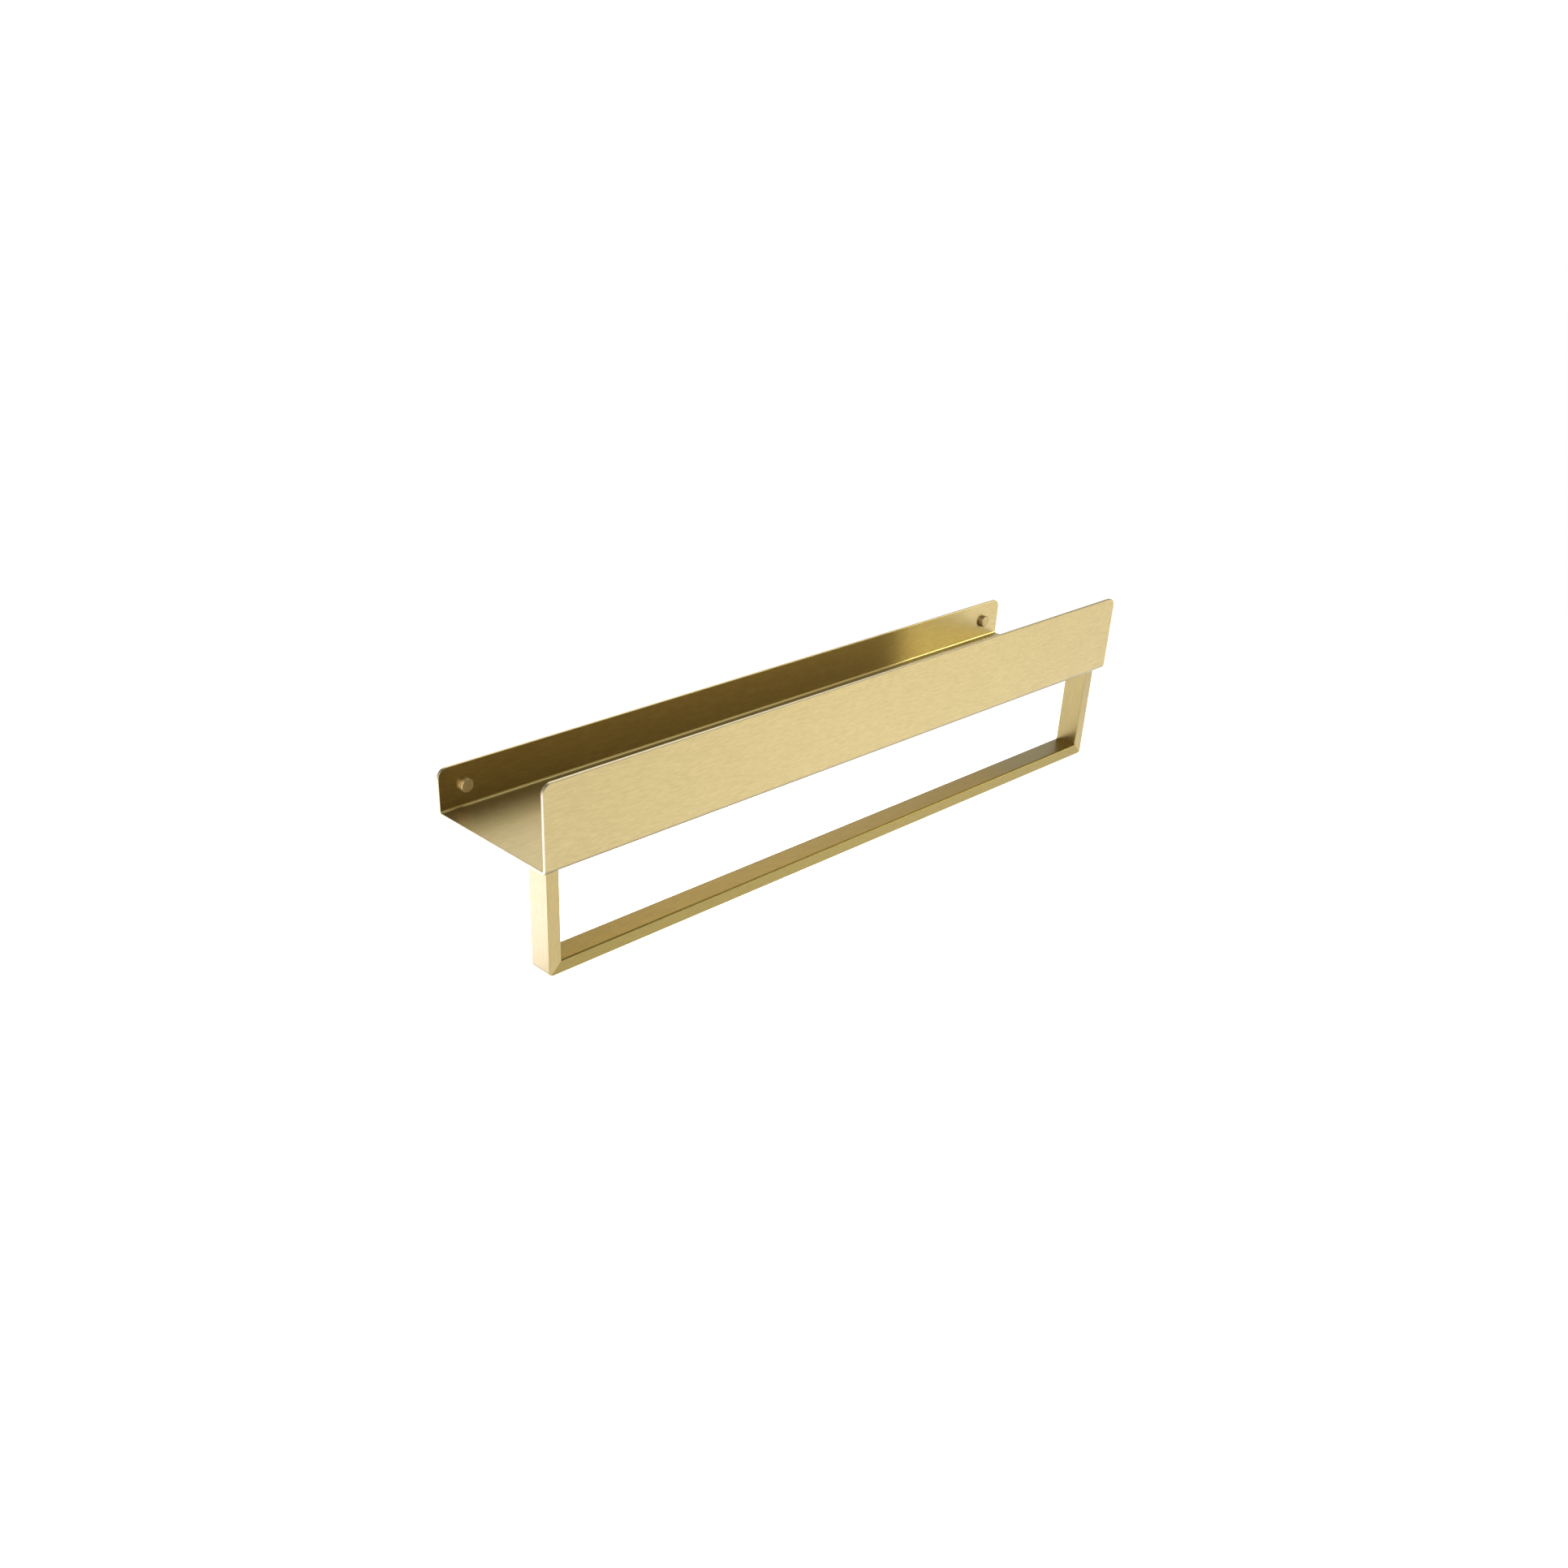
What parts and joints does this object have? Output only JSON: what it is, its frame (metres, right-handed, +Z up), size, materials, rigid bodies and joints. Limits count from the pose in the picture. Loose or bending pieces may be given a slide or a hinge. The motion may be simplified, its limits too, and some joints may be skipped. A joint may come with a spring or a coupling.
{
  "type": "wall shelf",
  "caption": "Folded brass-tone metal wall shelf with a raised front lip, a low wall flange and a U-shaped rectangular-tube towel rail under its front edge.",
  "frame": {"origin": "on the tray's wall face, half-way between the two wall screw axes", "axes": "+X along the shelf to a viewer's right, +Y into the wall, +Z up"},
  "size_m": [0.6, 0.1433, 0.14],
  "materials": {
    "brushed_brass": "fine horizontal brushed brass-tone coating on steel sheet",
    "brushed_brass_tube": "brushed brass-tone coating on steel tube, grain along the tube",
    "cap_brass": "turned and satin, slightly redder than the tray",
    "screw_steel": "zinc-plated steel",
    "ring_steel": "plain stainless steel",
    "plug_nylon": "moulded grey nylon"
  },
  "bodies": {
    "shelf": {"tray": "brushed_brass", "rail_left_leg": "brushed_brass_tube", "rail_crossbar": "brushed_brass_tube", "rail_right_leg": "brushed_brass_tube", "left_wall_plug": "plug_nylon", "left_wall_screw": "screw_steel", "left_cap_base": "ring_steel", "right_wall_plug": "plug_nylon", "right_wall_screw": "screw_steel", "right_cap_base": "ring_steel"},
    "left_cap": {"left_cover_cap": "cap_brass"},
    "right_cap": {"right_cover_cap": "cap_brass"}
  },
  "joints": [
    {"name": "left_cap_pull", "type": "slide", "parent": "shelf", "child": "left_cap", "axis": [0, -1, 0], "range_m": [0, 0.0022]},
    {"name": "right_cap_pull", "type": "slide", "parent": "shelf", "child": "right_cap", "axis": [0, -1, 0], "range_m": [0, 0.0022]}
  ]
}
